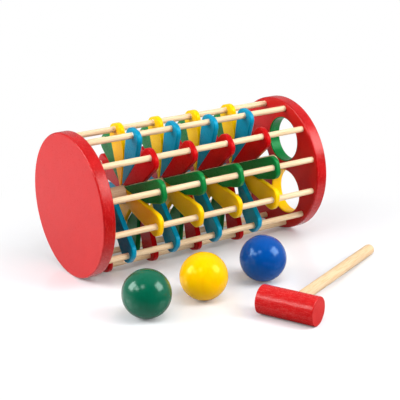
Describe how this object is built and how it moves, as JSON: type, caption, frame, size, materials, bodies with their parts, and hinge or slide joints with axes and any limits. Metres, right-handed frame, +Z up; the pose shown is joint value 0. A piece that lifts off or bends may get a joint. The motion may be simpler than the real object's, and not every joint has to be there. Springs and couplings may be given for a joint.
{
  "type": "ball pounding drum",
  "caption": "Wooden drum of two end discs joined by rods, with a spiral of coloured treads round a centre post, holes for balls, loose balls and a hammer.",
  "frame": {"origin": "on the floor, at the middle of the rectangle that the drum, the balls and the hammer cover as they lie in the picture", "axes": "X runs along the drum from the solid end disc to the holed one, +Y points to the back, +Z is up"},
  "size_m": [0.2912, 0.3024, 0.1418],
  "materials": {
    "natural_wood": "bare sanded birch dowel, matt, fine straight grain",
    "red_paint": "brushed water-based paint on wood, satin, soft sheen",
    "red_lacquer": "dipped red lacquer on a turned dowel, satin gloss with faint brush texture",
    "yellow_tread_paint": "dipped paint on plywood, satin gloss",
    "blue_tread_paint": "dipped paint on plywood, satin gloss",
    "red_tread_paint": "dipped paint on plywood, satin gloss",
    "green_tread_paint": "dipped paint on plywood, satin gloss",
    "green_ball_lacquer": "high gloss lacquer on a turned wooden ball",
    "yellow_ball_lacquer": "high gloss lacquer on a turned wooden ball",
    "blue_ball_lacquer": "high gloss lacquer on a turned wooden ball"
  },
  "bodies": {
    "drum": {"blue_tread_rod_02_turn_2": "blue_tread_paint", "blue_tread_rod_02_turn_3": "blue_tread_paint", "blue_tread_rod_02_turn_4": "blue_tread_paint", "blue_tread_rod_06_turn_2": "blue_tread_paint", "blue_tread_rod_06_turn_3": "blue_tread_paint", "blue_tread_rod_06_turn_4": "blue_tread_paint", "blue_tread_rod_10_turn_2": "blue_tread_paint", "blue_tread_rod_10_turn_3": "blue_tread_paint", "blue_tread_rod_10_turn_4": "blue_tread_paint", "centre_post": "natural_wood", "green_tread_rod_04_turn_2": "green_tread_paint", "green_tread_rod_04_turn_3": "green_tread_paint", "green_tread_rod_04_turn_4": "green_tread_paint", "green_tread_rod_08_turn_2": "green_tread_paint", "green_tread_rod_08_turn_3": "green_tread_paint", "green_tread_rod_08_turn_4": "green_tread_paint", "green_tread_rod_12_turn_2": "green_tread_paint", "green_tread_rod_12_turn_3": "green_tread_paint", "green_tread_rod_12_turn_4": "green_tread_paint", "holed_end_disc": "red_paint", "red_tread_rod_03_turn_2": "red_tread_paint", "red_tread_rod_03_turn_3": "red_tread_paint", "red_tread_rod_03_turn_4": "red_tread_paint", "red_tread_rod_07_turn_2": "red_tread_paint", "red_tread_rod_07_turn_3": "red_tread_paint", "red_tread_rod_07_turn_4": "red_tread_paint", "red_tread_rod_11_turn_2": "red_tread_paint", "red_tread_rod_11_turn_3": "red_tread_paint", "red_tread_rod_11_turn_4": "red_tread_paint", "rod_01_with_yellow_tread": "natural_wood", "rod_02_with_blue_tread": "natural_wood", "rod_03_with_red_tread": "natural_wood", "rod_04_with_green_tread": "natural_wood", "rod_05_with_yellow_tread": "natural_wood", "rod_06_with_blue_tread": "natural_wood", "rod_07_with_red_tread": "natural_wood", "rod_08_with_green_tread": "natural_wood", "rod_09_with_yellow_tread": "natural_wood", "rod_10_with_blue_tread": "natural_wood", "rod_11_with_red_tread": "natural_wood", "rod_12_with_green_tread": "natural_wood", "solid_end_disc": "red_paint", "yellow_tread_rod_01_turn_2": "yellow_tread_paint", "yellow_tread_rod_01_turn_3": "yellow_tread_paint", "yellow_tread_rod_01_turn_4": "yellow_tread_paint", "yellow_tread_rod_05_turn_2": "yellow_tread_paint", "yellow_tread_rod_05_turn_3": "yellow_tread_paint", "yellow_tread_rod_05_turn_4": "yellow_tread_paint", "yellow_tread_rod_09_turn_2": "yellow_tread_paint", "yellow_tread_rod_09_turn_3": "yellow_tread_paint", "yellow_tread_rod_09_turn_4": "yellow_tread_paint"},
    "green_ball": {"green_ball": "green_ball_lacquer"},
    "yellow_ball": {"yellow_ball": "yellow_ball_lacquer"},
    "blue_ball": {"blue_ball": "blue_ball_lacquer"},
    "hammer": {"hammer_head": "red_lacquer", "hammer_handle": "natural_wood"}
  },
  "joints": [
    {"name": "green_ball_lift", "type": "slide", "parent": "drum", "child": "green_ball", "axis": [0, 0, 1], "range_m": [0, 0.25]},
    {"name": "yellow_ball_lift", "type": "slide", "parent": "drum", "child": "yellow_ball", "axis": [0, 0, 1], "range_m": [0, 0.25]},
    {"name": "blue_ball_lift", "type": "slide", "parent": "drum", "child": "blue_ball", "axis": [0, 0, 1], "range_m": [0, 0.25]},
    {"name": "hammer_lift", "type": "slide", "parent": "drum", "child": "hammer", "axis": [0, 0, 1], "range_m": [0, 0.25]}
  ]
}
